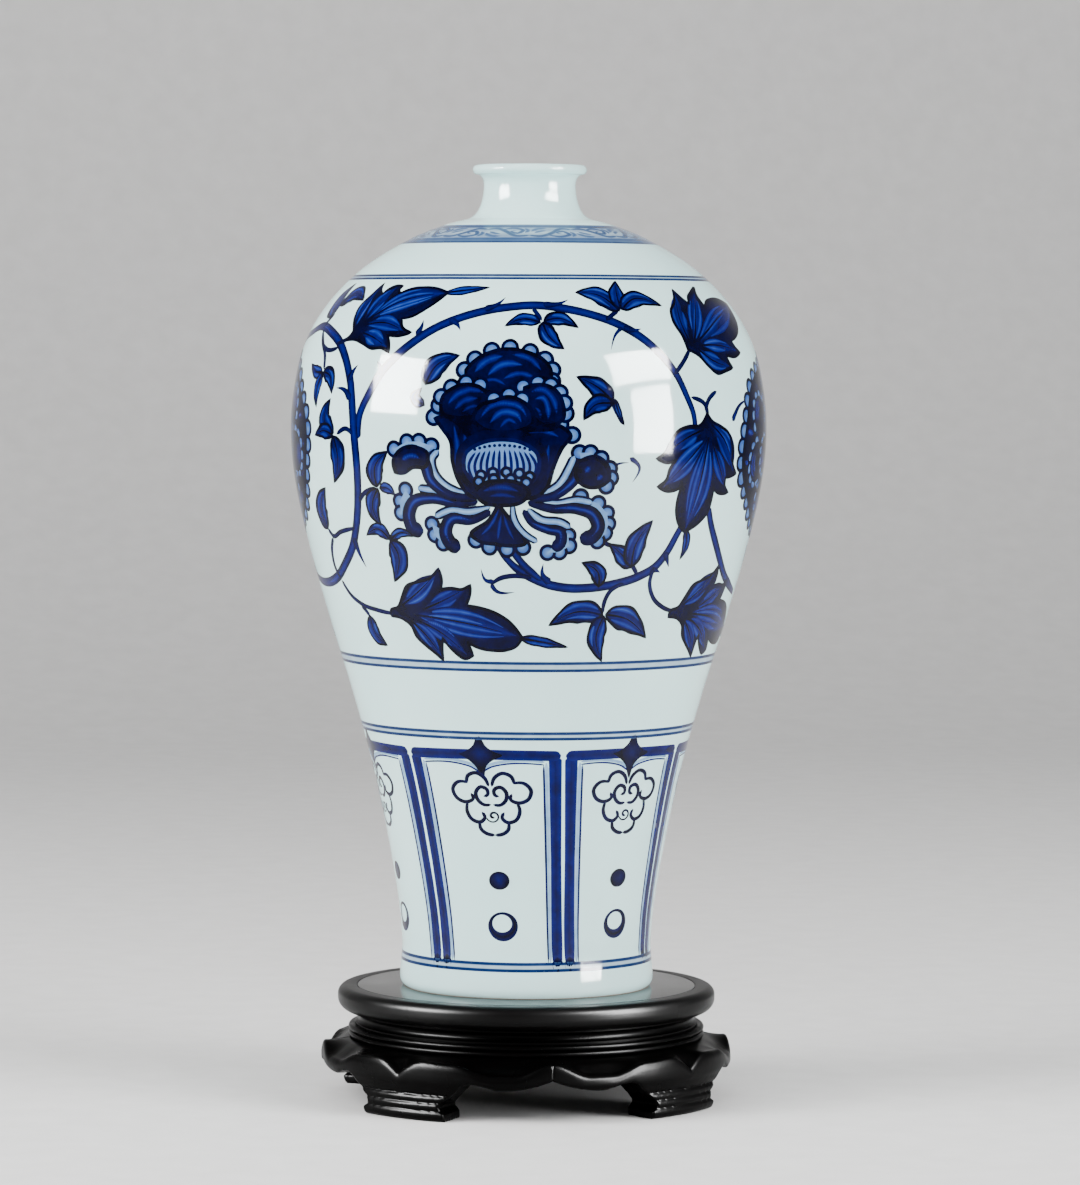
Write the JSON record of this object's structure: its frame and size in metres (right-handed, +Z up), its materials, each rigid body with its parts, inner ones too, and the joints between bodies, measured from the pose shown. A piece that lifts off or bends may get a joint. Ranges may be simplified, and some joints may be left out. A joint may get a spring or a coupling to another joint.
{
  "type": "porcelain vase on a wooden stand",
  "caption": "High-shouldered porcelain vase with a short beaded neck and a slender foot, standing loose on a round dark wood stand with scroll legs.",
  "frame": {"origin": "on the table, under the middle of the stand (centre of the bounding box's bottom face)", "axes": "+Z up along the vase's axis; the legs stand on the diagonals between X and Y, and -Y is the front, where two aprons meet"},
  "size_m": [0.1852, 0.1852, 0.364],
  "materials": {
    "porcelain": "glossy clear glaze over cobalt painting",
    "blackwood_board": "near-black, polished to a mirror",
    "blackwood_rim": "near-black, polished",
    "blackwood_leg": "near-black, carved and polished",
    "dowel_wood": "bare pale hardwood",
    "screw_steel": "plain bright steel"
  },
  "bodies": {
    "stand": {"stand_top_board": "blackwood_board", "rim_arc_1": "blackwood_rim", "rim_arc_2": "blackwood_rim", "rim_arc_3": "blackwood_rim", "rim_arc_4": "blackwood_rim", "waist_ring": "blackwood_rim", "bead_ring": "blackwood_rim", "scroll_leg_1": "blackwood_leg", "scroll_leg_2": "blackwood_leg", "scroll_leg_3": "blackwood_leg", "scroll_leg_4": "blackwood_leg", "rim_dowel_1": "dowel_wood", "rim_dowel_2": "dowel_wood", "rim_dowel_3": "dowel_wood", "rim_dowel_4": "dowel_wood", "apron_dowel_1": "dowel_wood", "apron_dowel_2": "dowel_wood", "apron_dowel_3": "dowel_wood", "apron_dowel_4": "dowel_wood", "leg_screw_1": "screw_steel", "leg_screw_2": "screw_steel", "leg_screw_3": "screw_steel", "leg_screw_4": "screw_steel"},
    "vase": {"vase_body": "porcelain"}
  },
  "joints": [
    {"name": "vase_lift", "type": "slide", "parent": "stand", "child": "vase", "axis": [0, 0, 1], "range_m": [0, 0.12]}
  ]
}
